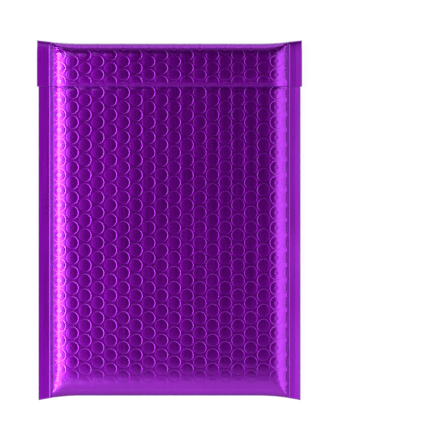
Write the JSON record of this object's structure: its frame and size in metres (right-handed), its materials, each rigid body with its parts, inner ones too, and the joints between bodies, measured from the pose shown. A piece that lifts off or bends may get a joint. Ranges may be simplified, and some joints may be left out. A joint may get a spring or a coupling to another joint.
{
  "type": "metallic bubble mailer",
  "caption": "Padded metallised film mailer with sealed sides and bubbled faces, its flap folded shut, lying on its back.",
  "frame": {"origin": "centre of the mailer's outline, on the floor under its back", "axes": "+X across the mailer, to the right as its flap is seen; +Y from the bottom fold to the fold of the flap; +Z out of the front, the side the flap is on"},
  "size_m": [0.2054, 0.279, 0.0153],
  "materials": {
    "metallised_film": "metallised purple film with a soft mirror sheen",
    "release_liner": "matt white"
  },
  "bodies": {
    "root": {"mailer": "metallised_film", "adhesive_strip": "release_liner"}
  },
  "joints": []
}
